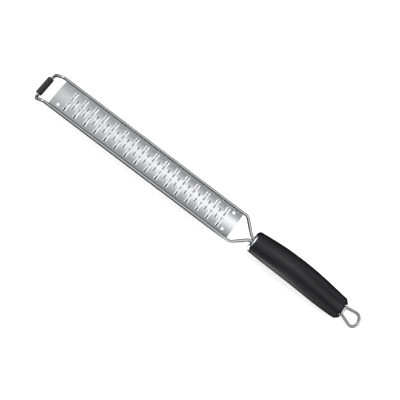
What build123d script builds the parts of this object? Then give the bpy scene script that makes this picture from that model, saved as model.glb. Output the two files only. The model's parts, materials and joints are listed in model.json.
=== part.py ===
from build123d import *
import math
import os

# Rasp zester: a long steel blade with raised cutting straps, held between the rails of one bent
# wire, with an arched oval handle and a hanging loop that swings.
# Millimetres. +X runs from the foot to the handle, +Y across the blade, +Z up.
# The origin lies on the table, under the middle of the whole tool. The foot sleeve, the rear edge
# of the grip and the tip of the hanging loop all stand on the table, at Z = 0.

# Gaps and cuts
overrun = 1.0  # how far a cutting body stands past what it cuts
seat_gap = 0.05  # between fixed pieces that lie in or against each other
hinge_gap = 0.06  # radial, hanging loop in its snap groove
swing_gap = 0.3  # hanging loop beside the snap clip and the sides of its notch
notch_gap = 0.85  # hanging loop in front of the floor of its notch

# Frame wire
wire_diameter = 3.5
rail_spacing = 31.7  # between the centre lines of the two rails
rail_height = 17.0  # centre line above the table
nose_slope = 45.0  # degrees, from the rails down to the foot bar
nose_corner_radius = 5.0  # centre line, foot bar into the sloping nose
knee_radius = 9.0  # centre line, sloping nose into the rail
neck_gap = 4.7  # from the blade's rear end to where the rails turn inwards
neck_run = 15.2  # along X, while the rails close in to each other
neck_bend_radius = 6.5  # centre line
tang_lead = 2.65  # from the end of the neck to the front cap
tang_length = 58.0  # inside the grip

# Foot sleeve
foot_diameter = 6.8
foot_length = 21.2
foot_rounding = 1.1

# Blade
blade_length = 222.5
blade_setback = 18.25  # from the foot bar's centre line to the blade's front end
blade_thickness = 0.5
blade_crown = 1.3  # how much higher the middle lies than the edges
blade_edge_lift = 0.2  # top of the blade's edge above the centre line of the rails
blade_bend_radius = 1.0  # outside, where the edges turn down
blade_lip = 2.4  # how far the turned-down edges reach below the top of the edge

# Cutting straps of the blade, each with a slot on both sides
tooth_pitch = 12.7
tooth_length = 9.8  # across the blade
tooth_row_offset = 6.4  # outer rows from the middle row
tooth_shift = 0.7  # middle of the rows from the blade's middle, towards the handle
plain_end = 15.0  # least length of blade left plain at each end
slot_width = 1.2
strap_width = 1.6
strap_rise = 1.3
strap_crest = 3.2  # length of the level top
strap_crest_radius = 2.5
strap_root = 0.6  # how far the strap runs on in the blade past its slots
root_skin_share = 0.2  # of the blade's thickness, left above and below the root

# Small round holes near the blade's ends
hole_diameter = 3.3
hole_setback = 8.7
hole_offset = 10.0

# Handle: the oval outline that the grip, the core and both caps follow
grip_length = 109.0
handle_width = 27.7
handle_thickness = 23.0
handle_arch = 8.6  # highest place of the grip's underside above the table
grip_wall = 2.4
grip_front_rounding = 0.9
parting_rounding = 0.3
# Each row: place along the grip, its width, its thickness and the height of its underside
grip_section_shares = (
    (0.0, 0.856, 0.895, 0.58),
    (0.155, 0.938, 0.955, 0.80),
    (0.337, 0.988, 1.0, 1.0),
    (0.52, 1.0, 1.0, 0.875),
    (0.712, 0.986, 0.95, 0.435),
    (0.866, 0.94, 0.835, 0.09),
    (1.0, 0.862, 0.735, 0.0),
)

# Front cap
front_cap_thickness = 1.8
front_cap_step = 0.3  # its rim inside the grip's outline
front_cap_bevel = 2.2
front_cap_rounding = 0.3

# Rear cap, with its plug in the core, the notch in its end and the snap clip for the hanging loop
rear_cap_length = 3.6
rear_cap_bevel = 3.2
rear_cap_rounding = 2.0
hinge_lift = 1.0  # hinge axis above the middle of the cap
hinge_inset = 0.2  # hinge axis inside the end face
plug_diameter = 8.4
plug_length = 9.0
clip_wall = 1.0
clip_mouth_start = -55.0  # degrees, from the rear towards the top
clip_mouth_end = 118.0

# Hanging loop
loop_wire_diameter = 3.1
loop_bar_width = 8.2  # between the centre lines of the two legs at the hinge
loop_corner_radius = 1.8  # centre line
loop_eye_radius = 7.3  # centre line
loop_eye_distance = 15.5  # from the hinge axis to the middle of the eye

# Worked out from the sizes above
wire_radius = wire_diameter / 2
rail_offset = rail_spacing / 2
foot_height = foot_diameter / 2
tang_offset = (wire_diameter + seat_gap) / 2
front_share, rear_share = grip_section_shares[0], grip_section_shares[-1]
front_half_width = handle_width / 2 * front_share[1]
front_half_thickness = handle_thickness / 2 * front_share[2]
tang_height = handle_arch * front_share[3] + front_half_thickness
rear_half_width = handle_width / 2 * rear_share[1]
rear_half_thickness = handle_thickness / 2 * rear_share[2]
rear_height = handle_arch * rear_share[3] + rear_half_thickness
loop_wire_radius = loop_wire_diameter / 2
loop_reach = loop_eye_distance + loop_eye_radius
hinge_height = rear_height + hinge_lift
loop_droop = math.asin((hinge_height - loop_wire_radius) / loop_reach)

# Each leg of the loop starts at the end of the bar and touches the circle of the eye
loop_corner_y = loop_bar_width / 2
loop_corner_distance = math.hypot(loop_eye_distance, loop_corner_y)
leg_length = math.sqrt(loop_corner_distance**2 - loop_eye_radius**2)
eye_angle = math.asin(loop_eye_radius / loop_corner_distance)
leg_angle = eye_angle - math.atan2(loop_corner_y, loop_eye_distance)

# Stations along X, counted from the foot bar and then moved so that the tool is centred
knee_station = (rail_height - foot_height) / math.tan(math.radians(nose_slope))
blade_rear_station = blade_setback + blade_length
neck_start_station = blade_rear_station + neck_gap
neck_end_station = neck_start_station + neck_run
grip_front_station = neck_end_station + tang_lead + front_cap_thickness
cap_end_station = grip_front_station + grip_length + rear_cap_length
hinge_station = cap_end_station - hinge_inset
tip_station = hinge_station + loop_reach * math.cos(loop_droop) + loop_wire_radius
foot_x = (foot_height - tip_station) / 2
blade_middle_x = foot_x + blade_setback + blade_length / 2
grip_front_x = foot_x + grip_front_station
grip_rear_x = grip_front_x + grip_length
cap_end_x = foot_x + cap_end_station
hinge_x = foot_x + hinge_station
notch_floor_x = hinge_x - loop_wire_radius - notch_gap

# The crown of the blade is an arc across it
blade_half_width = rail_offset - wire_radius - seat_gap
crown_radius = (blade_half_width**2 + blade_crown**2) / (2 * blade_crown)
crown_middle = rail_height + blade_edge_lift + blade_crown - crown_radius


def across(x, height):
    """Plane square to X, with its own X along the tool's Y."""
    return Plane(origin=(x, 0, height), x_dir=(0, 1, 0), z_dir=(1, 0, 0))


def bent_rod(path, diameter):
    """Round rod along a path of lines and arcs."""
    start = Plane(origin=path @ 0, z_dir=path % 0)
    return sweep(start * Circle(diameter / 2), path=path)


def make_frame_wire():
    """One rod: a tang, the neck, a rail, the dropped nose, the foot bar, and back the same way."""
    side = (
        (grip_front_x + tang_length, tang_offset, tang_height),
        (foot_x + neck_end_station, tang_offset, tang_height),
        (foot_x + neck_start_station, rail_offset, rail_height),
        (foot_x + knee_station, rail_offset, rail_height),
        (foot_x, rail_offset, foot_height),
    )
    other_side = [(x, -y, z) for x, y, z in reversed(side)]
    bends = [neck_bend_radius, neck_bend_radius, knee_radius, nose_corner_radius]
    path = FilletPolyline(*side, *other_side, radius=bends + bends[::-1])
    return bent_rod(path.wire(), wire_diameter)


def make_foot_sleeve():
    """Rubber sleeve on the foot bar."""
    along_bar = Plane(origin=(foot_x, 0, foot_height), x_dir=(1, 0, 0), z_dir=(0, 1, 0))
    body = along_bar * Cylinder(foot_height, foot_length)
    body = fillet(body.edges().filter_by(GeomType.CIRCLE), foot_rounding)
    bore = along_bar * Cylinder(wire_radius + seat_gap, foot_length + 2 * overrun)
    return body - bore


def crown_height(y, depth):
    """Height of the crowned sheet at y, at a depth below its top."""
    return crown_middle + math.sqrt((crown_radius - depth) ** 2 - y**2)


def channel_outline(depth, foot):
    """Closed outline across the blade, at a depth inside its outer face, down to the foot."""
    side = blade_half_width - depth
    shoulder = crown_height(side, depth)
    top = ThreePointArc((-side, shoulder), (0, crown_height(0, depth)), (side, shoulder))
    walls = Polyline((side, shoulder), (side, foot), (-side, foot), (-side, shoulder))
    outline = make_face([*top.edges(), *walls.edges()])
    corners = outline.vertices().sort_by(Axis.Y)[-2:]
    return fillet(corners, blade_bend_radius - depth)


def strap_outline(row_y):
    """Side view of a raised strap: out of the sheet, up a ramp, along a level crest, down again."""
    root, crest = tooth_length / 2 + strap_root, strap_crest / 2
    skin = blade_thickness * root_skin_share
    top_side = ((-root, -skin), (-crest, strap_rise), (crest, strap_rise), (root, -skin))
    under_side = (
        (root, skin - blade_thickness),
        (crest, strap_rise - blade_thickness),
        (-crest, strap_rise - blade_thickness),
        (-root, skin - blade_thickness),
    )
    corners = [(row_y + y, crown_height(row_y + y, 0) + lift) for y, lift in top_side + under_side]
    roundings = [0, strap_crest_radius, strap_crest_radius, 0]
    return make_face(FilletPolyline(*corners, radius=roundings * 2, close=True))


def tooth_places():
    """X and Y of each tooth: full columns in the outer rows, the middle row half a pitch between."""
    columns = int((blade_length - 2 * plain_end) / tooth_pitch) + 1
    places = []
    for row_y, count in ((-tooth_row_offset, columns), (0, columns - 1), (tooth_row_offset, columns)):
        first_x = blade_middle_x + tooth_shift - (count - 1) * tooth_pitch / 2
        places += [(first_x + column * tooth_pitch, row_y) for column in range(count)]
    return places


def hole_places():
    """X and Y of the small round holes: two at the rear end, one at the front end."""
    reach = blade_length / 2 - hole_setback
    rear_x, front_x = blade_middle_x + reach, blade_middle_x - reach
    return [(rear_x, hole_offset), (rear_x, -hole_offset), (front_x, -hole_offset)]


def make_rasp_blade():
    """Crowned sheet with turned-down edges, slots and raised straps."""
    sheet_height = rail_height + blade_edge_lift
    lip_foot = sheet_height - blade_lip
    section = channel_outline(0, lip_foot) - channel_outline(blade_thickness, lip_foot - overrun)
    front_x = blade_middle_x - blade_length / 2
    blade = extrude(across(front_x, 0) * section, amount=blade_length)
    cut_height = 2 * (blade_crown + blade_thickness + overrun)
    window = Box(strap_width + 2 * slot_width, tooth_length, cut_height)
    hole = Cylinder(hole_diameter / 2, cut_height)
    cuts = [Pos(x, y, sheet_height) * window for x, y in tooth_places()]
    cuts += [Pos(x, y, sheet_height) * hole for x, y in hole_places()]
    straps = []
    for x, y in tooth_places():
        side_view = across(x - strap_width / 2, 0) * strap_outline(y)
        straps.append(extrude(side_view, amount=strap_width))
    return blade - cuts + straps


def grip_section(row, inset):
    """Oval of the handle at one station, drawn in by the inset."""
    place_share, width_share, thickness_share, underside_share = row
    half_thickness = handle_thickness / 2 * thickness_share
    height = handle_arch * underside_share + half_thickness
    station = across(grip_front_x + grip_length * place_share, height)
    return station * Ellipse(handle_width / 2 * width_share - inset, half_thickness - inset)


def grip_form(inset):
    """The handle's whole form between the caps, drawn in by the inset."""
    return loft([grip_section(row, inset) for row in grip_section_shares])


def tang_slot():
    """Space for the two tangs side by side, through the front cap and into the core."""
    front_x = grip_front_x - front_cap_thickness - overrun
    width = 2 * (tang_offset + wire_radius + seat_gap)
    mouth = across(front_x, tang_height) * SlotOverall(width, wire_diameter + 2 * seat_gap)
    return extrude(mouth, amount=grip_front_x + tang_length + seat_gap - front_x)


def make_front_cap():
    """Bevelled steel disc against the front of the grip."""
    back = (front_half_width - front_cap_step, front_half_thickness - front_cap_step)
    front = [half - front_cap_bevel for half in back]
    front_face = across(grip_front_x - front_cap_thickness, tang_height) * Ellipse(*front)
    body = loft([across(grip_front_x, tang_height) * Ellipse(*back), front_face], ruled=True)
    body = fillet(body.edges().group_by(Axis.X)[0], front_cap_rounding)
    return body - tang_slot()


def make_handle_core():
    """Hard core with the slot for the tangs and the pocket for the rear cap's plug."""
    depth = plug_length + seat_gap
    pocket = across(grip_rear_x - depth, rear_height) * Circle(plug_diameter / 2 + seat_gap)
    return grip_form(grip_wall + seat_gap) - tang_slot() - extrude(pocket, amount=depth + overrun)


def make_grip_sleeve():
    """Soft grip over the core."""
    body = grip_form(0)
    ends = body.edges().group_by(Axis.X)
    body = fillet(ends[0], grip_front_rounding)
    body = fillet(body.edges().group_by(Axis.X)[-1], parting_rounding)
    return body - grip_form(grip_wall)


def make_snap_clip():
    """Clip for the hanging loop's straight side: a ring round it, open towards the top and rear."""
    bore_radius = loop_wire_radius + hinge_gap
    outer_radius = bore_radius + clip_wall
    width = loop_bar_width - loop_wire_diameter - 2 * swing_gap
    side_view = Plane(origin=(hinge_x, width / 2, hinge_height), x_dir=(1, 0, 0), z_dir=(0, -1, 0))
    root_length = hinge_x - notch_floor_x + overrun
    root = Pos(-root_length / 2, 0) * Rectangle(root_length, 2 * outer_radius)
    mouth_angles = (clip_mouth_start, (clip_mouth_start + clip_mouth_end) / 2, clip_mouth_end)
    reach = 2 * outer_radius
    rays = [(reach * math.cos(a), reach * math.sin(a)) for a in map(math.radians, mouth_angles)]
    mouth = make_face(Polyline((0, 0), *rays, close=True))
    profile = Circle(outer_radius) + root - Circle(bore_radius) - mouth
    return extrude(side_view * profile, amount=width)


def loop_notch():
    """Notch down through the cap's end, for the root of the loop. Its sides spread as the legs do."""
    half_width = loop_corner_y + loop_wire_radius + swing_gap
    reach = rear_half_thickness + hinge_lift + overrun
    mouth_half_width = half_width + reach * math.tan(leg_angle)
    half = [(mouth_half_width, -reach), (half_width, 0), (mouth_half_width, reach)]
    other_half = [(-y, height) for y, height in reversed(half)]
    outline = make_face(Polyline(*half, *other_half, close=True))
    depth = cap_end_x - notch_floor_x
    return extrude(across(notch_floor_x, hinge_height) * outline, amount=depth + overrun)


def make_rear_cap():
    """Chamfered end cap with a plug in the core and the snap clip in its notch."""
    grip_end = across(grip_rear_x, rear_height) * Ellipse(rear_half_width, rear_half_thickness)
    end_half = (rear_half_width - rear_cap_bevel, rear_half_thickness - rear_cap_bevel)
    body = loft([grip_end, across(cap_end_x, rear_height) * Ellipse(*end_half)], ruled=True)
    body = fillet(body.edges().group_by(Axis.X)[-1], rear_cap_rounding)
    plug_start = across(grip_rear_x - plug_length, rear_height) * Circle(plug_diameter / 2)
    return body - loop_notch() + extrude(plug_start, amount=plug_length) + make_snap_clip()


def make_hang_loop():
    """Closed teardrop of wire, drooping until its tip lies on the table."""
    drop, run = math.sin(loop_droop), math.cos(loop_droop)
    lie = Plane(origin=(hinge_x, 0, hinge_height), x_dir=(run, 0, -drop), z_dir=(drop, 0, run))
    leg_direction = Vector(math.cos(leg_angle), math.sin(leg_angle))
    leg_end = Vector(0, loop_corner_y) + leg_direction * leg_length
    leg = FilletPolyline((0, 0), (0, loop_corner_y), leg_end, radius=loop_corner_radius)
    eye = TangentArc(leg_end, (loop_reach, 0), tangent=leg_direction)
    half = bent_rod(lie * Wire([*leg.edges(), *eye.edges()]), loop_wire_diameter)
    return half + mirror(half, about=Plane.XZ)


pieces = {
    "frame_wire": make_frame_wire(),
    "foot_sleeve": make_foot_sleeve(),
    "rasp_blade": make_rasp_blade(),
    "front_cap": make_front_cap(),
    "handle_core": make_handle_core(),
    "grip_sleeve": make_grip_sleeve(),
    "rear_cap": make_rear_cap(),
    "hang_loop": make_hang_loop(),
}

os.makedirs("parts", exist_ok=True)
for name, piece in pieces.items():
    export_step(piece, f"parts/{name}.step")
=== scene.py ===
# Looks of the rasp zester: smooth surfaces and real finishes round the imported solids. Metres, in
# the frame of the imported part: +X from the foot to the handle, +Z up, the table at Z = 0.
import json
import math

import bpy
import numpy as np
from mathutils import Matrix, Vector


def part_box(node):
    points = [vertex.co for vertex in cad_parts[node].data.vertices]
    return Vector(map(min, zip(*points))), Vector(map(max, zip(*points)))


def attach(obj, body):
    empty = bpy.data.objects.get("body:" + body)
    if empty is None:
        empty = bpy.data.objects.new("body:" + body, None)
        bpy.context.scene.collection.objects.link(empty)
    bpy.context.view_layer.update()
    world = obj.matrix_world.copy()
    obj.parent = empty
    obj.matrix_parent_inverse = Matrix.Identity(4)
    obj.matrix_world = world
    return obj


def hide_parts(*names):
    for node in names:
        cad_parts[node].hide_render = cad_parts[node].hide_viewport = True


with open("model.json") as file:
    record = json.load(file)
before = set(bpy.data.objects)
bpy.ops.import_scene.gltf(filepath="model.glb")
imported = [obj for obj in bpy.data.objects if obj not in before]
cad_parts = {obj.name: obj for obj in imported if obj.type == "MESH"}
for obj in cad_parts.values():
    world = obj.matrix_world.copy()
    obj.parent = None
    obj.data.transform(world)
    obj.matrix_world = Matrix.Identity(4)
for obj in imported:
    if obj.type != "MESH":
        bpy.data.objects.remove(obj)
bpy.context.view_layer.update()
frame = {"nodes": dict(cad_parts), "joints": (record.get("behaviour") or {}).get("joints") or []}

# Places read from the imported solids
foot_low, foot_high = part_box("foot_sleeve")
blade_low, blade_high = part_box("rasp_blade")
cap_low, cap_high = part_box("front_cap")
grip_low, grip_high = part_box("grip_sleeve")
hinge_x, _, hinge_height = frame["joints"][0]["pos_m"]

# Frame wire
wire_radius = 0.00175
rail_offset = 0.01585
rail_height = 0.017
nose_slope = math.radians(45)
nose_corner_radius = 0.005
knee_radius = 0.009
neck_gap = 0.0047
neck_run = 0.0152
neck_bend_radius = 0.0065
tang_length = 0.058
seat_gap = 0.00005

# Foot sleeve
foot_rounding = 0.0011

# Blade
blade_thickness = 0.0005
blade_crown = 0.0013
blade_edge_lift = 0.0002
blade_bend_radius = 0.001
blade_lip = 0.0024
edge_softness = 0.00004

# Cutting straps
tooth_pitch = 0.0127
tooth_length = 0.0098
tooth_row_offset = 0.0064
tooth_shift = 0.0007
plain_end = 0.015
slot_width = 0.0012
strap_width = 0.0016
strap_rise = 0.0013
strap_crest = 0.0032
strap_crest_radius = 0.0025
strap_root = 0.0006
root_depth = 0.0001

# Round holes near the blade's ends
hole_radius = 0.00165
hole_setback = 0.0087
hole_offset = 0.010
hole_patch = 0.0028  # half width of the square in which the mesh's lines bend round a hole
hole_square = 0.00145  # half width of the square ring of points that becomes its edge

# Handle
handle_width = 0.0277
handle_thickness = 0.023
handle_arch = 0.0086
grip_wall = 0.0024
grip_front_rounding = 0.0009
parting_rounding = 0.0003
# Each row: place along the grip, its width, its thickness and the height of its underside
grip_section_shares = np.array((
    (0.0, 0.856, 0.895, 0.58),
    (0.155, 0.938, 0.955, 0.80),
    (0.337, 0.988, 1.0, 1.0),
    (0.52, 1.0, 1.0, 0.875),
    (0.712, 0.986, 0.95, 0.435),
    (0.866, 0.94, 0.835, 0.09),
    (1.0, 0.862, 0.735, 0.0),
))

# Caps and snap clip
front_cap_bevel = 0.0022
front_cap_rounding = 0.0003
front_cap_crown = math.radians(12)  # lean of the crowned bevel from its chord, at either edge
rear_cap_length = 0.0036
rear_cap_bevel = 0.0032
rear_cap_rounding = 0.002
plug_radius = 0.0042
plug_length = 0.009
clip_wall = 0.001
clip_mouth_start = math.radians(-55)
clip_mouth_end = math.radians(118)
clip_softness = 0.00015
hinge_gap = 0.00006
swing_gap = 0.0003
notch_gap = 0.00085

# Hanging loop
loop_wire_radius = 0.00155
loop_bar_half = 0.0041
loop_corner_radius = 0.0018
loop_eye_radius = 0.0073
loop_eye_distance = 0.0155

# Light, as bands. Each band has two rows of stops: a grey that changes with one value, and the
# share of it that is left as a second value changes.
band_scale = 4.0  # brightness that a ramp's full white stands for

# Dome of light round the tool: grey by the angle in degrees from straight up towards the far side
# (+Y), and share by the X of the direction
dome_bands = (
    # Over the tool
    (((-180, 0.02), (-88, 0.02), (-74, 0.05), (-62, 0.25), (-55, 0.25), (-50, 0.0), (-37, 0.0),
      (-32, 0.5), (-21, 0.5), (-12, 0.34), (-6, 0.4), (0, 0.7), (6, 1.2), (12, 1.8), (17.5, 1.85),
      (22, 0.85), (26, 0.38), (33, 0.34), (41, 0.8), (48, 0.9), (53, 0.12), (58, 0.1), (63, 0.5),
      (69, 0.4), (78, 0.05), (90, 0.0)),
     ((-0.32, 0.0), (-0.14, 1.0), (0.3, 1.0), (0.45, 0.0))),
    # Past the blade's front end
    (((-90, 0.0), (-72, 0.05), (-60, 0.5), (-54, 0.3), (-50, 0.0), (-36, 0.0), (-31, 0.5),
      (-12, 0.7), (20, 0.75), (36, 0.6), (48, 0.6), (53, 0.12), (58, 0.1), (63, 0.5), (69, 0.4),
      (78, 0.02), (90, 0.0)),
     ((-0.55, 0.0), (-0.36, 1.0), (-0.32, 1.0), (-0.14, 0.0))),
    # Over the foot's end, high up
    (((-90, 0.05), (-28, 0.05), (-20, 0.76), (50, 0.76), (58, 0.2), (90, 0.05)),
     ((-0.55, 1.0), (-0.36, 0.0))),
    # Over the foot's end, near the horizon
    (((-90, 0.0), (-75, 0.7), (-28, 0.7), (-20, 0.0), (50, 0.0), (58, 0.55), (75, 0.7), (90, 0.0)),
     ((-0.86, 1.0), (-0.78, 0.0))),
    # Over the handle's end, high up
    (((-28, 0.03), (-14, 0.4), (0, 1.05), (14, 1.05), (27, 0.4), (40, 0.03)),
     ((0.3, 0.0), (0.45, 1.0))),
    # Over the handle's end, low on both sides
    (((-84, 0.0), (-76, 0.9), (-62, 0.9), (-52, 0.0), (54, 0.0), (60, 0.7), (76, 0.7), (90, 0.0)),
     ((0.3, 0.0), (0.45, 1.0), (0.72, 1.0), (0.8, 0.2))),
    # Low on the near side of the handle
    (((-125, 0.0), (-108, 3.0), (-82, 3.0), (-68, 2.5), (-52, 1.0), (-35, 0.0)),
     ((0.061, 0.0), (0.083, 1.0), (0.13, 0.9), (0.2, 0.3), (0.26, 0.0))),
)

# Pools of light and a glint painted on the table, glowing only in what the tool reflects: grey by
# Y, and share by X, both in metres
painted_table_light = (
    # Painted pool of light on the near side of the handle
    (((-0.45, 1.6), (-0.15, 3.4), (-0.07, 3.4), (-0.045, 2.0), (-0.03, 0.3), (-0.02, 0.0)),
     ((-0.3, 0.0), (-0.1, 0.02), (0.055, 0.03), (0.07, 0.9), (0.09, 1.0), (0.115, 0.6),
      (0.14, 0.5), (0.2, 0.15))),
    # Painted pool of light past the foot
    (((-0.4, 0.0), (-0.1, 0.6), (0.1, 0.6), (0.4, 0.0)),
     ((-0.45, 0.5), (-0.24, 1.0), (-0.205, 0.0))),
    # Painted glint under the neck
    (((-0.032, 0.0), (-0.022, 3.0), (-0.012, 3.0), (-0.004, 0.0)),
     ((0.028, 0.0), (0.042, 1.0), (0.055, 1.0), (0.062, 0.0))),
)
table_glow = 0.72  # of the table as the eye sees it, beside the light that falls on it

# Fineness of the meshes
tube_sides = 40
oval_sides = 128
arc_step = math.radians(6)
foot_points = 8  # on the rounding of the foot sleeve's ends
bend_points = 7  # across the blade's turned-down edge
hole_steps = 8  # across a round hole
edge_points = 5  # on the roundings of the front cap and of the parting line
crown_steps = 8  # down the front cap's bevel
grip_front_points = 7
grip_steps = 59  # along the grip's outside
grip_inside_steps = 29
chamfer_points = 6  # on the rear cap's rounding
clip_bore_points = 28
clip_back_points = 8
eye_steps = 25  # round half of the loop's eye
noise_low, noise_high = 0.3, 0.7  # the range in which most of a noise texture lies
sharp_angle = math.radians(35)  # edges sharper than this aren't smoothed
soft_edge_angle = math.radians(50)  # edges sharper than this are rounded on blade and clip

# Camera: place and the point it looks at, counted from under the blade's middle, the turn of the
# picture about that line, and the lens in millimetres for a sensor 36 mm wide
camera_place = Vector((0.08701, -0.13915, 0.64647))
camera_target = Vector((0.06792, -0.00018, 0.017))
picture_turn = math.radians(37.11)
camera_lens = 58.4

# Worked out from the sizes above
foot_x = (foot_low.x + foot_high.x) / 2
foot_height = (foot_low.z + foot_high.z) / 2
blade_middle_x = (blade_low.x + blade_high.x) / 2
blade_length = blade_high.x - blade_low.x
blade_half_width = rail_offset - wire_radius - seat_gap
crown_radius = (blade_half_width**2 + blade_crown**2) / (2 * blade_crown)
crown_middle = rail_height + blade_edge_lift + blade_crown - crown_radius
tang_offset = wire_radius + seat_gap / 2
front_thickness = handle_thickness * grip_section_shares[0, 2]
tang_height = handle_arch * grip_section_shares[0, 3] + front_thickness / 2
grip_length = grip_high.x - grip_low.x
cap_end_x = grip_high.x + rear_cap_length
loop_reach = loop_eye_distance + loop_eye_radius
loop_droop = math.asin((hinge_height - loop_wire_radius) / loop_reach)
loop_corner_distance = math.hypot(loop_eye_distance, loop_bar_half)
leg_length = math.sqrt(loop_corner_distance**2 - loop_eye_radius**2)
leg_lean = math.atan2(loop_bar_half, loop_eye_distance)
leg_angle = math.asin(loop_eye_radius / loop_corner_distance) - leg_lean
notch_floor_x = hinge_x - loop_wire_radius - notch_gap


def unit(vectors):
    """Each vector divided by its length."""
    return vectors / np.linalg.norm(vectors, axis=-1, keepdims=True)


def rounded_route(corners, radii):
    """Places and directions along straight runs joined by arcs. Each corner becomes an arc of its
    radius, which touches both runs at radius times tan(half the turn) from the corner."""
    corners = np.array(corners, float)
    runs = unit(np.diff(corners, axis=0))
    places, directions = [corners[:1]], [runs[:1]]
    for corner, before, after, radius in zip(corners[1:-1], runs[:-1], runs[1:], radii):
        turn = math.acos(float(before @ after))
        inward = unit(after - (before @ after) * before)
        angle = np.linspace(0, turn, max(3, math.ceil(turn / arc_step)))[:, None]
        start = corner - before * radius * math.tan(turn / 2)
        places.append(start + radius * (np.sin(angle) * before + (1 - np.cos(angle)) * inward))
        directions.append(np.cos(angle) * before + np.sin(angle) * inward)
    return np.vstack([*places, corners[-1:]]), np.vstack([*directions, runs[-1:]])


def tube(places, directions, upright, radius):
    """Grid of points round a route: at each place a circle in the plane square to the direction."""
    side = unit(np.cross(directions, upright))
    raised = np.cross(side, directions)
    angle = np.linspace(0, 2 * math.pi, tube_sides, endpoint=False)[None, :, None]
    outwards = np.cos(angle) * side[:, None] + np.sin(angle) * raised[:, None]
    return places[:, None] + radius * outwards


def step_sums(points, axis, wrapped):
    """Running length along one way of a grid, averaged over the other way, for the UV map."""
    if wrapped:
        points = np.concatenate([points, np.take(points, [0], axis=axis)], axis=axis)
    steps = np.linalg.norm(np.diff(points, axis=axis), axis=-1).mean(axis=1 - axis)
    return np.concatenate([[0], np.cumsum(steps)])


def new_piece(name, points, faces, uv=None):
    """Mesh object from points and faces that point outwards, smooth but for its sharp edges."""
    mesh = bpy.data.meshes.new(name)
    mesh.from_pydata(points.tolist(), [], faces)
    if uv is not None:
        mesh.uv_layers.new(name="surface").uv.foreach_set("vector", uv.astype(np.float32).ravel())
    mesh.validate()
    mesh.shade_smooth()
    mesh.set_sharp_from_angle(angle=sharp_angle)
    piece = bpy.data.objects.new(name, mesh)
    bpy.context.scene.collection.objects.link(piece)
    return piece


def enclosed(points, quads):
    """Volume inside quads, by the sum over both triangles of each quad; it is negative if they face
    inwards."""
    a, b, c, d = (points[quads[:, k]] for k in range(4))
    return np.einsum("ij,ij->i", a, np.cross(b, c) + np.cross(c, d)).sum() / 6


def surface(name, grid, wrap_rows=False):
    """Closed piece from a grid of points whose columns go round it. Its rows also go round, or else
    end in lids. The UV map gives metres along the rows and round the columns."""
    rows, columns = grid.shape[:2]
    spans = rows if wrap_rows else rows - 1
    i, j = np.divmod(np.arange(spans * columns), columns)
    corner_i = np.stack([i, i + 1, i + 1, i], axis=1)
    corner_j = np.stack([j, j, j + 1, j + 1], axis=1)
    quads = corner_i % rows * columns + corner_j % columns
    along, around = step_sums(grid, 0, wrap_rows), step_sums(grid, 1, True)
    uv = np.stack([along[corner_i], around[corner_j]], axis=-1)
    points = grid.reshape(-1, 3)
    if enclosed(points - points.mean(axis=0), quads) < 0:
        quads, uv = quads[:, ::-1], uv[:, ::-1]
        ends = [np.arange(columns), (rows - 1) * columns + np.arange(columns)[::-1]]
    else:
        ends = [np.arange(columns)[::-1], (rows - 1) * columns + np.arange(columns)]
    lids = [] if wrap_rows else [end.tolist() for end in ends]
    lid_uv = np.zeros((sum(map(len, lids)), 2))
    return new_piece(name, points, quads.tolist() + lids, np.vstack([uv.reshape(-1, 2), lid_uv]))


def dress(piece, body, material, slot, *nodes):
    """The piece rides on a body, takes its material, and stands for the CAD nodes. The slot is not
    used.
    """
    piece.data.materials.append(material)
    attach(piece, body)
    if nodes:
        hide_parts(*nodes)


def linear(code):
    """Linear colour of an sRGB hex code: a dark part is divided by 12.92, and any other is moved by
    0.055 and raised to the power of 2.4."""
    parts = [int(code[k:k + 2], 16) / 255 for k in (1, 3, 5)]
    return [p / 12.92 if p <= 0.04045 else ((p + 0.055) / 1.055) ** 2.4 for p in parts] + [1.0]


def grey(level):
    """Linear colour of a grey."""
    return [level] * 3 + [1.0]


def add(tree, kind, inputs, stops=(), **settings):
    """Adds one node with its settings; each input is given a value, or the socket that feeds it.
    The stops are a colour ramp's, each a place from 0 to 1 and its linear colour."""
    node = tree.nodes.new(kind)
    for name, value in settings.items():
        setattr(node, name, value)
    for name, value in inputs.items():
        if isinstance(value, bpy.types.NodeSocket):
            tree.links.new(value, node.inputs[name])
        else:
            node.inputs[name].default_value = value
    if stops:
        points = node.color_ramp.elements
        while len(points) < len(stops):
            points.new(1.0)
        for point, (place, colour) in zip(points, stops):
            point.position, point.color = place, colour
    return node


def new_material(name):
    """Material without any nodes, and its tree."""
    material = bpy.data.materials.new(name)
    material.use_nodes = True
    material.node_tree.nodes.clear()
    return material, material.node_tree


def drawn_wire(name, colour, roughness, groove_depth):
    """Steel drawn through a die and polished: a mirror with faint lines along the drawn or buffed
    direction, which the UV map carries through every bend. Real lines lie 0.02 mm apart, and these
    are drawn 0.25 mm apart so that they show."""
    material, tree = new_material(name)
    place = add(tree, "ShaderNodeTexCoord", {}).outputs["UV"]
    line_spacing, line_run = 0.00025, 0.012
    stretched = add(tree, "ShaderNodeMapping", {
        "Vector": place, "Scale": (1 / line_run, 1 / line_spacing, 1),
    }).outputs["Vector"]
    lines = add(tree, "ShaderNodeTexNoise", {
        "Vector": stretched, "Scale": 1.0, "Detail": 2.0,
    }).outputs["Fac"]
    rough = add(tree, "ShaderNodeMapRange", {
        "Value": lines, "From Min": noise_low, "From Max": noise_high,
        "To Min": roughness * 0.8, "To Max": roughness * 1.25,
    }).outputs["Result"]
    grooves = add(tree, "ShaderNodeBump", {
        "Height": lines, "Strength": 0.25, "Distance": groove_depth,
    }).outputs["Normal"]
    shader = add(tree, "ShaderNodeBsdfPrincipled", {
        "Base Color": linear(colour), "Metallic": 1.0, "Roughness": rough, "Normal": grooves,
    })
    add(tree, "ShaderNodeOutputMaterial", {"Surface": shader.outputs["BSDF"]})
    return material


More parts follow.
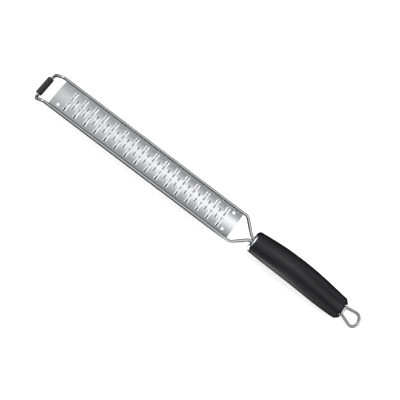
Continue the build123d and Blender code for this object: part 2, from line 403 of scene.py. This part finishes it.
def brushed_sheet(name):
    """Stainless steel sheet, belt-brushed along the blade before it was etched: a soft sheen drawn
    out across the lines, and fine streaks of lighter and darker grey along them. A 180 grit belt
    leaves lines about 0.08 mm apart, and these are drawn 0.4 mm apart so that they show."""
    material, tree = new_material(name)
    place = add(tree, "ShaderNodeTexCoord", {}).outputs["Object"]
    line_spacing, line_run, groove_depth = 0.0004, 0.035, 0.00002
    stretched = add(tree, "ShaderNodeMapping", {
        "Vector": place, "Scale": (1 / line_run, 1 / line_spacing, 1 / line_spacing),
    }).outputs["Vector"]
    lines = add(tree, "ShaderNodeTexNoise", {
        "Vector": stretched, "Scale": 1.0, "Detail": 4.0,
    }).outputs["Fac"]
    rough = add(tree, "ShaderNodeMapRange", {
        "Value": lines, "From Min": noise_low, "From Max": noise_high,
        "To Min": 0.18, "To Max": 0.24,
    }).outputs["Result"]
    streaks = add(tree, "ShaderNodeValToRGB", {"Fac": lines}, stops=(
        (noise_low, linear("#C4C5C7")), (noise_high, linear("#D8D9DB")),
    )).outputs["Color"]
    grooves = add(tree, "ShaderNodeBump", {
        "Height": lines, "Strength": 0.3, "Distance": groove_depth,
    }).outputs["Normal"]
    shader = add(tree, "ShaderNodeBsdfPrincipled", {
        "Base Color": streaks, "Metallic": 1.0, "Roughness": rough, "Normal": grooves,
    })
    add(tree, "ShaderNodeOutputMaterial", {"Surface": shader.outputs["BSDF"]})
    return material


def moulded_black(name, colour, roughness, grain, depth):
    """Black rubber or plastic from a steel mould: one colour all through, with the fine
    spark-eroded grain of the mould, which breaks up the shine into a soft band."""
    material, tree = new_material(name)
    place = add(tree, "ShaderNodeTexCoord", {}).outputs["Object"]
    pits = add(tree, "ShaderNodeTexNoise", {
        "Vector": place, "Scale": 1 / grain, "Detail": 3.0,
    }).outputs["Fac"]
    patches = add(tree, "ShaderNodeTexNoise", {
        "Vector": place, "Scale": 60.0, "Detail": 2.0,
    }).outputs["Fac"]
    rough = add(tree, "ShaderNodeMapRange", {
        "Value": patches, "From Min": noise_low, "From Max": noise_high,
        "To Min": roughness * 0.95, "To Max": roughness * 1.05,
    }).outputs["Result"]
    grained = add(tree, "ShaderNodeBump", {
        "Height": pits, "Strength": 0.4, "Distance": depth,
    }).outputs["Normal"]
    shader = add(tree, "ShaderNodeBsdfPrincipled", {
        "Base Color": linear(colour), "Roughness": rough, "Normal": grained,
    })
    add(tree, "ShaderNodeOutputMaterial", {"Surface": shader.outputs["BSDF"]})
    return material


def frame_wire_grid():
    """The bent rod: a circle carried along the tang, neck, rail, dropped nose and foot bar, and
    back."""
    blade_rear_x = blade_middle_x + blade_length / 2
    neck_start_x = blade_rear_x + neck_gap
    knee_x = foot_x + (rail_height - foot_height) / math.tan(nose_slope)
    side = [
        (grip_low.x + tang_length, tang_offset, tang_height),
        (neck_start_x + neck_run, tang_offset, tang_height),
        (neck_start_x, rail_offset, rail_height),
        (knee_x, rail_offset, rail_height),
        (foot_x, rail_offset, foot_height),
    ]
    other_side = [(x, -y, z) for x, y, z in reversed(side)]
    bends = [neck_bend_radius, neck_bend_radius, knee_radius, nose_corner_radius]
    places, directions = rounded_route(side + other_side, bends + bends[::-1])
    return tube(places, directions, (0, 0, 1), wire_radius)


def foot_sleeve_grid():
    """A closed outline of bore, ends and rounded outside, turned about the foot bar."""
    half_length, outer = (foot_high.y - foot_low.y) / 2, foot_height
    angle = np.linspace(0, math.pi / 2, foot_points)
    round_y = half_length - foot_rounding + foot_rounding * np.sin(angle)
    round_r = outer - foot_rounding + foot_rounding * np.cos(angle)
    bore = wire_radius + seat_gap
    y = np.concatenate([[-half_length], -round_y[::-1], [0], round_y, [half_length]])
    r = np.concatenate([[bore], round_r[::-1], [outer], round_r, [bore]])
    turn = np.linspace(0, 2 * math.pi, tube_sides, endpoint=False)
    around = np.stack([np.cos(turn), 0 * turn, np.sin(turn)], axis=-1)
    middle = np.array((foot_x, 0, foot_height))
    return middle + y[:, None, None] * np.array((0, 1, 0)) + r[:, None, None] * around[None]


def blade_section():
    """Cross-section of the sheet from one lip to the other: Y, Z and the angle of the outward
    normal. The middle is an arc of the crown's radius, each bend an arc that touches it, each lip a
    straight drop."""
    slot, root = tooth_length / 2, ramp_root()
    near, far = crest_edges()
    in_row = np.array((0, near / 2, near, (near + far) / 2, far, (far + slot) / 2, slot, root))
    rows = np.array((-tooth_row_offset, 0, tooth_row_offset))[:, None, None]
    tooth_lines = (rows + np.array((-1, 1))[:, None] * in_row).ravel()
    hole_lines = np.linspace(-hole_square, hole_square, hole_steps + 1)
    hole_lines = np.concatenate([hole_lines + hole_offset, hole_lines - hole_offset])
    bend_middle = blade_half_width - blade_bend_radius
    bend_start = math.asin(bend_middle / (crown_radius - blade_bend_radius))
    edge = crown_radius * math.sin(bend_start)
    patch_lines = np.array((hole_offset - hole_patch, hole_offset + hole_patch))
    y = np.concatenate([tooth_lines, hole_lines, patch_lines, -patch_lines, (-edge, edge)])
    y = np.unique(np.round(y[np.abs(y) <= edge + 1e-9], 6))
    crown_angle = np.arcsin(y / crown_radius)
    crown = np.stack([y, crown_middle + np.sqrt(crown_radius**2 - y**2), crown_angle])
    angle = np.linspace(bend_start, math.pi / 2, bend_points)[1:]
    bend_height = crown_middle + math.sqrt((crown_radius - blade_bend_radius) ** 2 - bend_middle**2)
    bend = np.stack([
        bend_middle + blade_bend_radius * np.sin(angle),
        bend_height + blade_bend_radius * np.cos(angle),
        angle,
    ])
    foot = rail_height + blade_edge_lift - blade_lip
    lip = np.array(((blade_half_width,), (foot,), (math.pi / 2,)))
    half = np.hstack([bend, lip])
    mirrored = half[:, ::-1] * np.array(((-1,), (1,), (-1,)))
    return np.hstack([mirrored, crown, half])


def ramp_slope():
    """Slope of a strap's ramp: rise over run from its root, just below the sheet, to the corner of
    its crest."""
    return math.atan((strap_rise + root_depth) / (tooth_length / 2 + strap_root - strap_crest / 2))


def crest_edges():
    """Where the rounding between crest and ramp starts and ends, from the strap's middle. It
    touches both at radius times tan(half the slope) from their corner."""
    slope = ramp_slope()
    reach = strap_crest_radius * math.tan(slope / 2)
    return strap_crest / 2 - reach, strap_crest / 2 + reach * math.cos(slope)


def ramp_root():
    """Where the ramp comes out of the sheet, from the strap's middle: nearer than the root by its
    depth over the slope."""
    return tooth_length / 2 + strap_root - root_depth / math.tan(ramp_slope())


def strap_height(distance):
    """Rise of a strap at a distance from its middle: level crest, an arc of the crest radius, a
    straight ramp."""
    near, far = crest_edges()
    arc_part = np.maximum(strap_crest_radius**2 - (distance - near) ** 2, 0)
    arc = strap_rise - strap_crest_radius + np.sqrt(arc_part)
    ramp = (ramp_root() - distance) * math.tan(ramp_slope())
    rise = np.where(distance < near, strap_rise, np.where(distance < far, arc, ramp))
    return np.maximum(rise, 0)


def rasp_blade():
    """Sheet over a grid of X lines and section lines. Lines lie on the edges of every slot, whose
    cells are left open. Points on a strap are raised by the strap's height. Points near a round
    hole move along their rays, from the square ring that they are on to a circle, wholly at the
    hole's edge and not at all at the patch's edge."""
    columns = int((blade_length - 2 * plain_end) / tooth_pitch) + 1
    outer_x = blade_middle_x + tooth_shift + (np.arange(columns) - (columns - 1) / 2) * tooth_pitch
    middle_x = (outer_x[1:] + outer_x[:-1]) / 2
    slot_edge, strap_edge = strap_width / 2 + slot_width, strap_width / 2
    in_column = np.array((-slot_edge, -strap_edge, 0, strap_edge, slot_edge))
    every_x = np.sort(np.concatenate([outer_x, middle_x]))
    column_lines = (every_x[:, None] + in_column).ravel()
    between = every_x[:-1] + tooth_pitch / 4
    front_x, rear_x = blade_middle_x - blade_length / 2, blade_middle_x + blade_length / 2
    hole_lines = np.linspace(-hole_square, hole_square, hole_steps + 1)
    ends = []
    for end_x, inwards in ((front_x, 1), (rear_x, -1)):
        hole_x = end_x + inwards * hole_setback
        ends.append(hole_x + np.concatenate([[-hole_patch], hole_lines, [hole_patch]]))
        ends.append(end_x + inwards * hole_setback * np.array((0, 0.25, 0.5)))
    x = np.unique(np.round(np.concatenate([column_lines, between, *ends]), 6))
    section_y, section_z, section_angle = blade_section()
    X, Y = np.meshgrid(x, section_y, indexing="ij")
    Z = np.broadcast_to(section_z, X.shape).copy()
    on_crown = np.abs(section_angle) < math.pi / 4

    holes = [
        (rear_x - hole_setback, hole_offset), (rear_x - hole_setback, -hole_offset),
        (front_x + hole_setback, -hole_offset),
    ]
    cell_x, cell_y = (x[1:] + x[:-1]) / 2, (section_y[1:] + section_y[:-1]) / 2
    open_cells = np.zeros((len(x) - 1, len(section_y) - 1), bool)
    for hole_x, hole_y in holes:
        u, v = X - hole_x, Y - hole_y
        ring, ray = np.maximum(np.abs(u), np.abs(v)), np.hypot(u, v)
        share = np.clip((hole_patch - ring) / (hole_patch - hole_square), 0, 1)
        round_size = np.interp(ring, (0, hole_square, hole_patch), (0, hole_radius, hole_patch))
        scale = np.where(ray > 0, round_size / np.maximum(ray, 1e-9), 1)
        moved = 1 + share * (scale - 1)
        X, Y = hole_x + u * moved, hole_y + v * moved
        in_x = np.abs(cell_x - hole_x) < hole_square
        in_y = np.abs(cell_y - hole_y) < hole_square
        open_cells |= in_x[:, None] & in_y
    Z[:, on_crown] = crown_middle + np.sqrt(crown_radius**2 - Y[:, on_crown] ** 2)

    tooth_rows = ((-tooth_row_offset, outer_x), (0, middle_x), (tooth_row_offset, outer_x))
    for row_y, column_x in tooth_rows:
        off_x = np.abs(x[:, None] - column_x).min(axis=1)
        off_y = np.abs(section_y - row_y)
        rise = strap_height(off_y)
        Z += np.where((off_x < strap_edge + 1e-6)[:, None] & on_crown, rise, 0)
        cell_off_x = np.abs(cell_x[:, None] - column_x).min(axis=1)
        in_slot = (cell_off_x > strap_edge) & (cell_off_x < slot_edge)
        open_cells |= in_slot[:, None] & (np.abs(cell_y - row_y) < tooth_length / 2)

    outer = np.stack([X, Y, Z], axis=-1)
    inwards = np.stack([0 * section_angle, -np.sin(section_angle), -np.cos(section_angle)], axis=-1)
    return sheet_piece("etched_blade", outer, outer + blade_thickness * inwards, ~open_cells)


def sheet_piece(name, outer, inner, kept):
    """Closed sheet between two grids of points: the kept cells of both, and a wall along every edge
    of them."""
    columns = outer.shape[1]
    layer = outer.shape[0] * columns
    i, j = np.nonzero(kept)
    low = i * columns + j
    top = np.stack([low, low + columns, low + columns + 1, low + 1], axis=1)
    under = top[:, ::-1] + layer
    padded = np.pad(kept, 1)
    walls = []
    for step_i, step_j, first, second in ((-1, 0, 0, 3), (1, 0, 2, 1), (0, -1, 1, 0), (0, 1, 3, 2)):
        free = ~padded[i + 1 + step_i, j + 1 + step_j]
        a, b = top[free, first], top[free, second]
        walls.append(np.stack([a, b, b + layer, a + layer], axis=1))
    quads = np.vstack([top, under, *walls])
    points = np.vstack([outer.reshape(-1, 3), inner.reshape(-1, 3)])
    used, compact = np.unique(quads, return_inverse=True)
    points, quads = points[used], compact.reshape(-1, 4)
    if enclosed(points - points.mean(axis=0), quads) < 0:
        quads = quads[:, ::-1]
    return new_piece(name, points, quads.tolist())


def slot_ring(angle):
    """Outline of the tang slot at each angle: a flat oval, its ends round, found along rays from
    its middle."""
    end_radius = wire_radius + seat_gap
    y_ray, z_ray = np.cos(angle), np.sin(angle)
    flat = end_radius / np.maximum(np.abs(z_ray), 1e-9)
    rounded = tang_offset * np.abs(y_ray) + np.sqrt(end_radius**2 - (tang_offset * z_ray) ** 2)
    size = np.where(flat * np.abs(y_ray) < tang_offset, flat, rounded)
    return size[:, None] * np.stack([y_ray, z_ray], axis=-1)


def oval_ring(half_width, half_height, angle):
    """Ellipse at each angle: half width times the cosine, and half height times the sine."""
    return np.stack([half_width * np.cos(angle), half_height * np.sin(angle)], axis=-1)


def stations(rings):
    """Grid of points from rings, each a place along X, the height of its middle, and its
    outline."""
    return np.stack([
        np.column_stack([np.full(len(outline), x), outline[:, 0], height + outline[:, 1]])
        for x, height, outline in rings
    ])


def front_cap_grid():
    """Rings from the slot out over the face, round its edge, down the bevel and back over the rear
    face. The bevel is crowned: at a share s of its chord it bulges by 4 s (1 - s) times its
    greatest bulge."""
    angle = np.linspace(0, 2 * math.pi, oval_sides, endpoint=False)
    back_width, back_height = (cap_high.y - cap_low.y) / 2, (cap_high.z - cap_low.z) / 2
    middle = (cap_high.z + cap_low.z) / 2
    face_x, back_x, slot = cap_low.x, cap_high.x, slot_ring(angle)
    slope = math.atan2(back_x - face_x, front_cap_bevel)
    cut = front_cap_rounding * math.tan(slope / 2)
    rings = [(face_x, middle, slot)]
    for share in (0.5, 0.9):
        edge = oval_ring(back_width - front_cap_bevel, back_height - front_cap_bevel, angle)
        rings.append((face_x, middle, slot + share * (edge - slot)))
    for turn in np.linspace(0, slope, edge_points):
        inset = front_cap_bevel + cut - front_cap_rounding * math.sin(turn)
        x = face_x + front_cap_rounding * (1 - math.cos(turn))
        rings.append((x, middle, oval_ring(back_width - inset, back_height - inset, angle)))
    bevel_start = np.array((x, inset))
    chord = np.array((back_x, 0)) - bevel_start
    bulge = np.hypot(*chord) / 2 * math.tan(front_cap_crown / 2)
    outwards = np.array((chord[1], -chord[0])) / np.hypot(*chord)
    for share in np.linspace(0, 1, crown_steps + 1)[1:]:
        x, inset = bevel_start + share * chord + 4 * share * (1 - share) * bulge * outwards
        rings.append((x, middle, oval_ring(back_width - inset, back_height - inset, angle)))
    rings.append((back_x, middle, slot))
    return stations(rings)


def grip_size(share):
    """Half width, half thickness and middle height at a place along the grip: each is the one
    polynomial that passes through all the rows of the section table."""
    place = grip_section_shares[:, 0]
    half_width = handle_width / 2 * grip_section_shares[:, 1]
    half_thickness = handle_thickness / 2 * grip_section_shares[:, 2]
    middle = handle_arch * grip_section_shares[:, 3] + half_thickness
    rows = (half_width, half_thickness, middle)
    return [float(np.polyval(np.polyfit(place, row, len(place) - 1), share)) for row in rows]


def grip_ring(x, inset, angle):
    """One oval of the handle at a place along X, drawn in by the inset."""
    half_width, half_thickness, middle = grip_size((x - grip_low.x) / grip_length)
    return x, middle, oval_ring(half_width - inset, half_thickness - inset, angle)


def grip_grid():
    """Rings from the wall's inner edge over the rounded front, along the arched outside, round the
    rear edge, and back along the inside."""
    angle = np.linspace(0, 2 * math.pi, oval_sides, endpoint=False)
    front, rear = grip_low.x, grip_high.x
    rings = [grip_ring(front, grip_wall, angle)]
    for turn in np.linspace(0, math.pi / 2, grip_front_points):
        x = front + grip_front_rounding * (1 - math.cos(turn))
        rings.append(grip_ring(x, grip_front_rounding * (1 - math.sin(turn)), angle))
    outside = np.linspace(front + grip_front_rounding, rear - parting_rounding, grip_steps + 1)
    rings += [grip_ring(x, 0, angle) for x in outside[1:-1]]
    for turn in np.linspace(math.pi / 2, 0, edge_points):
        x = rear - parting_rounding * (1 - math.cos(turn))
        rings.append(grip_ring(x, parting_rounding * (1 - math.sin(turn)), angle))
    inside = np.linspace(rear, front, grip_inside_steps + 1)
    rings += [grip_ring(x, grip_wall, angle) for x in inside[:-1]]
    return stations(rings)


def rear_cap_grid():
    """Rings from the end of the plug along it, out over the grip's end, down the chamfer and round
    to the face."""
    angle = np.linspace(0, 2 * math.pi, oval_sides, endpoint=False)
    start, end = grip_high.x, cap_end_x
    half_width, half_thickness, height = grip_size(1.0)
    rings = [(start - plug_length, height, oval_ring(plug_radius, plug_radius, angle))]
    rings.append((start, height, oval_ring(plug_radius, plug_radius, angle)))
    rings.append((start, height, oval_ring(half_width, half_thickness, angle)))
    slope = math.atan2(rear_cap_bevel, end - start)
    lean = math.pi / 2 - slope
    cut = rear_cap_rounding * math.tan(lean / 2)
    for turn in np.linspace(lean, 0, chamfer_points):
        inset = rear_cap_bevel + cut - rear_cap_rounding * math.sin(turn)
        x = end - rear_cap_rounding * (1 - math.cos(turn))
        rings.append((x, height, oval_ring(half_width - inset, half_thickness - inset, angle)))
    return stations(rings)


def cut_notch(cap):
    """Takes the notch for the loop's root out of the cap: an outline carried from the notch's floor
    out past the face. Its sides are nearest each other at the hinge, and spread up and down at the
    angle of the loop's legs."""
    near = loop_bar_half + loop_wire_radius + swing_gap
    reach = 2 * hinge_height
    far = near + reach * math.tan(leg_angle)
    outline = np.array((
        (far, -reach), (near, 0), (far, reach), (-far, reach), (-near, 0), (-far, -reach),
    ))
    ends = [(x, hinge_height, outline) for x in (notch_floor_x, cap_end_x + clip_wall)]
    cutter = surface("notch_cutter", stations(ends))
    cut = cap.modifiers.new("notch", "BOOLEAN")
    cut.operation, cut.solver, cut.object = "DIFFERENCE", "EXACT", cutter
    evaluated = cap.evaluated_get(bpy.context.evaluated_depsgraph_get())
    solid = bpy.data.meshes.new_from_object(evaluated)
    cap.modifiers.clear()
    cap.data = solid
    solid.shade_smooth()
    solid.set_sharp_from_angle(angle=sharp_angle)
    bpy.data.objects.remove(cutter)
    return cap


def snap_clip_grid():
    """A ring open towards the top and rear, with its root in the cap, as one outline carried across
    the tool."""
    bore = loop_wire_radius + hinge_gap
    outer = bore + clip_wall
    width = 2 * (loop_bar_half - loop_wire_radius - swing_gap)
    mouth_start = 2 * math.pi + clip_mouth_start
    inner_arc = np.linspace(clip_mouth_end, mouth_start, clip_bore_points)
    outer_arc = np.linspace(mouth_start, 1.5 * math.pi, clip_back_points)
    root_x = notch_floor_x - clip_wall / 2 - hinge_x
    lip_x = outer / math.tan(clip_mouth_end)
    root_xs, root_zs = [root_x, root_x, lip_x], [-outer, outer, outer]
    x = np.concatenate([bore * np.cos(inner_arc), outer * np.cos(outer_arc), root_xs])
    z = np.concatenate([bore * np.sin(inner_arc), outer * np.sin(outer_arc), root_zs])
    outline = np.stack([hinge_x + x, 0 * x, hinge_height + z], axis=-1)
    return outline + np.array((-width / 2, width / 2))[:, None, None] * np.array((0, 1, 0))


def hang_loop_grid():
    """A circle carried round the teardrop: half the straight side, a rounded corner, a leg that
    touches the eye's circle, the eye to its tip, and the same mirrored. The teardrop lies in a
    plane that droops from the hinge."""
    leg_x, leg_y = leg_length * math.cos(leg_angle), leg_length * math.sin(leg_angle)
    corners = [(0, 0, 0), (0, loop_bar_half, 0), (leg_x, loop_bar_half + leg_y, 0)]
    places, directions = rounded_route(corners, [loop_corner_radius])
    turn = np.linspace(math.pi / 2 + leg_angle, 0, eye_steps + 1)[1:]
    outwards = np.stack([np.cos(turn), np.sin(turn), 0 * turn], axis=-1)
    eye = np.array((loop_eye_distance, 0, 0)) + loop_eye_radius * outwards
    eye_directions = np.stack([np.sin(turn), -np.cos(turn), 0 * turn], axis=-1)
    places, directions = np.vstack([places, eye]), np.vstack([directions, eye_directions])
    flip = np.array((1, -1, 1))
    places = np.vstack([places, places[-2:0:-1] * flip])
    directions = np.vstack([directions, -directions[-2:0:-1] * flip])
    drop, run = math.sin(loop_droop), math.cos(loop_droop)
    lie = np.array(((run, 0, -drop), (0, 1, 0), (drop, 0, run)))
    flat_loop = tube(places, directions, (0, 0, 1), loop_wire_radius)
    return np.array((hinge_x, 0, hinge_height)) + flat_loop @ lie


# Electropolished stainless rod: a bright line along its top between dark sides
polished_rod = drawn_wire(
    "electropolished_stainless_rod", colour="#D5D6D8", roughness=0.10, groove_depth=0.00001,
)
# Bright drawn steel wire, not polished after bending: the same lines, softer and wider
bright_wire = drawn_wire(
    "bright_drawn_steel_wire", colour="#E2E3E4", roughness=0.25, groove_depth=0.00002,
)
# Pressed and buffed stainless disc: the clearest mirror of the tool
polished_disc = drawn_wire(
    "polished_stainless_disc", colour="#D8D9DA", roughness=0.07, groove_depth=0.000005,
)
# Belt-brushed stainless sheet: a broad sheen that rolls over the crown, with streaks along the
# blade
blade_sheet = brushed_sheet("belt_brushed_stainless_sheet")
# Moulded EPDM rubber: dark grey and nearly without shine
foot_rubber = moulded_black(
    "moulded_epdm_rubber", colour="#383838", roughness=0.60, grain=0.0003, depth=0.00002,
)
# Soft-touch elastomer over the grip: black, with a wide dim sheen along the arch
soft_grip = moulded_black(
    "soft_touch_elastomer", colour="#1D1D20", roughness=0.36, grain=0.0004, depth=0.00002,
)
# Satin moulded polypropylene of the end cap: a shade blacker and a little tighter in its shine
cap_plastic = moulded_black(
    "satin_moulded_polypropylene", colour="#1B1B1D", roughness=0.34, grain=0.0003, depth=0.00001,
)
# Moulded glass-filled nylon of the hidden core: dull and coarse
core_plastic = moulded_black(
    "moulded_glass_filled_nylon", colour="#202021", roughness=0.5, grain=0.0005, depth=0.00002,
)

wire = surface("bent_frame_wire", frame_wire_grid())
dress(wire, "tool", polished_rod, "polished_wire", "frame_wire")
foot = surface("rubber_foot", foot_sleeve_grid(), wrap_rows=True)
dress(foot, "tool", foot_rubber, "foot_rubber", "foot_sleeve")
blade = rasp_blade()
dress(blade, "tool", blade_sheet, "blade_steel", "rasp_blade")
disc = surface("bevelled_disc", front_cap_grid(), wrap_rows=True)
dress(disc, "tool", polished_disc, "polished_cap", "front_cap")
grip = surface("arched_grip", grip_grid(), wrap_rows=True)
dress(grip, "tool", soft_grip, "grip_soft", "grip_sleeve")
end_cap = cut_notch(surface("chamfered_cap", rear_cap_grid()))
dress(end_cap, "tool", cap_plastic, "cap_plastic", "rear_cap")
clip = surface("snap_clip", snap_clip_grid())
dress(clip, "tool", cap_plastic, "cap_plastic")
loop = surface("teardrop_loop", hang_loop_grid(), wrap_rows=True)
dress(loop, "loop", bright_wire, "loop_wire", "hang_loop")

# The core lies hidden in the grip and keeps its own mesh
core = frame["nodes"]["handle_core"]
core.data.materials.clear()
core.data.materials.append(core_plastic)

# Rounded edges where the blade was etched and the clip moulded
for piece, width in ((blade, edge_softness), (clip, clip_softness)):
    bevel = piece.modifiers.new("soft_edges", "BEVEL")
    bevel.width = width
    bevel.segments = 1
    bevel.limit_method = "ANGLE"
    bevel.angle_limit = soft_edge_angle
    bevel.harden_normals = True


def bands(tree, table, first, first_span, second, second_span):
    """Sum of a table's bands, each the grey by the first value times the share by the second, in
    parts of the band scale. Each value is first stretched from its span to 0 to 1, where the ramp
    has its stops."""
    total = (0.0, 0.0, 0.0)
    for grey_stops, share_stops in table:
        factors = []
        for value, (low, high), stops, full in (
            (first, first_span, grey_stops, band_scale), (second, second_span, share_stops, 1.0),
        ):
            place = add(tree, "ShaderNodeMapRange", {
                "Value": value, "From Min": low, "From Max": high,
            }).outputs["Result"]
            factors.append(add(tree, "ShaderNodeValToRGB", {"Fac": place}, stops=[
                ((at - low) / (high - low), grey(level / full)) for at, level in stops
            ]).outputs["Color"])
        total = add(tree, "ShaderNodeVectorMath", {
            0: factors[0], 1: factors[1], 2: total,
        }, operation="MULTIPLY_ADD").outputs["Vector"]
    return total


def make_floor():
    """Square white table, evenly lit to the eye. What the tool reflects is a painted dark copy of
    it, with painted pools of light and a painted glint on it."""
    mesh = bpy.data.meshes.new("floor")
    reach = 3.0
    corners = [(-reach, -reach, 0), (reach, -reach, 0), (reach, reach, 0), (-reach, reach, 0)]
    mesh.from_pydata(corners, [], [(0, 1, 2, 3)])
    floor = bpy.data.objects.new("floor", mesh)
    bpy.context.scene.collection.objects.link(floor)
    material, tree = new_material("matt_white_table")
    seen = add(tree, "ShaderNodeLightPath", {}).outputs["Is Camera Ray"]
    place = add(tree, "ShaderNodeTexCoord", {}).outputs["Object"]
    parts = add(tree, "ShaderNodeSeparateXYZ", {"Vector": place}).outputs
    # Painted pools of light and a painted glint, which glow only for rays that are not the camera's
    painted_pools = bands(tree, painted_table_light, parts["Y"], (-0.5, 0.5), parts["X"], (-0.5, 0.5))
    glow = add(tree, "ShaderNodeMix", {
        "Factor": seen, "A": painted_pools, "B": grey(table_glow / band_scale),
    }, data_type="RGBA").outputs["Result"]
    # Painted shade: white to the eye, and a dark copy of the table in what the tool reflects
    base = add(tree, "ShaderNodeMix", {
        "Factor": seen, "A": linear("#101010"), "B": linear("#F2F2F2"),
    }, data_type="RGBA").outputs["Result"]
    shader = add(tree, "ShaderNodeBsdfPrincipled", {
        "Base Color": base, "Roughness": 0.9, "Specular IOR Level": 0.1,
        "Emission Color": glow, "Emission Strength": band_scale,
    })
    add(tree, "ShaderNodeOutputMaterial", {"Surface": shader.outputs["BSDF"]})
    mesh.materials.append(material)


def soft_box(name, place, aim, width, height, watts):
    """Rectangular studio light turned towards a point."""
    light = bpy.data.lights.new(name, "AREA")
    light.shape = "RECTANGLE"
    light.size, light.size_y = width, height
    light.energy = watts
    lamp = bpy.data.objects.new(name, light)
    lamp.location = place
    lamp.rotation_euler = (Vector(aim) - Vector(place)).to_track_quat("-Z", "Y").to_euler()
    lamp.visible_camera = False
    bpy.context.scene.collection.objects.link(lamp)
    return lamp


def make_surroundings():
    """White backdrop for the eye, and for the tool the dome of bands. The angle from straight up
    towards the far side is the arc tangent of a direction's Y over its Z."""
    world = bpy.data.worlds.new("studio")
    world.use_nodes = True
    world.node_tree.nodes.clear()
    tree = world.node_tree
    direction = add(tree, "ShaderNodeTexCoord", {}).outputs["Generated"]
    parts = add(tree, "ShaderNodeSeparateXYZ", {"Vector": direction}).outputs
    turn = add(tree, "ShaderNodeMath", {
        0: parts["Y"], 1: parts["Z"],
    }, operation="ARCTAN2").outputs["Value"]
    degrees = add(tree, "ShaderNodeMath", {0: turn}, operation="DEGREES").outputs["Value"]
    dome = bands(tree, dome_bands, degrees, (-180, 180), parts["X"], (-1, 1))
    seen = add(tree, "ShaderNodeLightPath", {}).outputs["Is Camera Ray"]
    light = add(tree, "ShaderNodeMix", {
        "Factor": seen, "A": dome, "B": grey(1 / band_scale),
    }, data_type="RGBA").outputs["Result"]
    back = add(tree, "ShaderNodeBackground", {"Color": light, "Strength": band_scale})
    add(tree, "ShaderNodeOutputWorld", {"Surface": back.outputs["Background"]})
    bpy.context.scene.world = world


def make_camera():
    """Camera at the picture's angle, turned about its line of sight so that the tool lies across
    the diagonal."""
    middle = Vector((blade_middle_x, 0, 0))
    back = (camera_place - camera_target).normalized()
    level = Vector((1, 0, 0))
    level = (level - back * level.dot(back)).normalized()
    right = level * math.cos(picture_turn) + back.cross(level) * math.sin(picture_turn)
    pose = Matrix((right, back.cross(right), back)).transposed().to_4x4()
    pose.translation = middle + camera_place
    data = bpy.data.cameras.new("camera")
    data.lens = camera_lens
    data.sensor_width = 36.0
    camera = bpy.data.objects.new("camera", data)
    camera.matrix_world = pose
    bpy.context.scene.collection.objects.link(camera)
    bpy.context.scene.camera = camera


make_floor()
make_surroundings()
# A low box past the foot draws the bright streak on the front cap's bevel. The fill lifts the black
# pieces and isn't mirrored in the steel
soft_box(
    "end_box", place=(-0.85, 0.14, 0.18), aim=(0.06, 0, 0.02), width=0.55, height=0.26, watts=0.7,
)
fill = soft_box(
    "fill_box", place=(0, 0.25, 1.0), aim=(0, 0, 0), width=0.5, height=0.3, watts=3.5,
)
fill.visible_glossy = False
make_camera()
bpy.context.scene.view_settings.view_transform = "Standard"
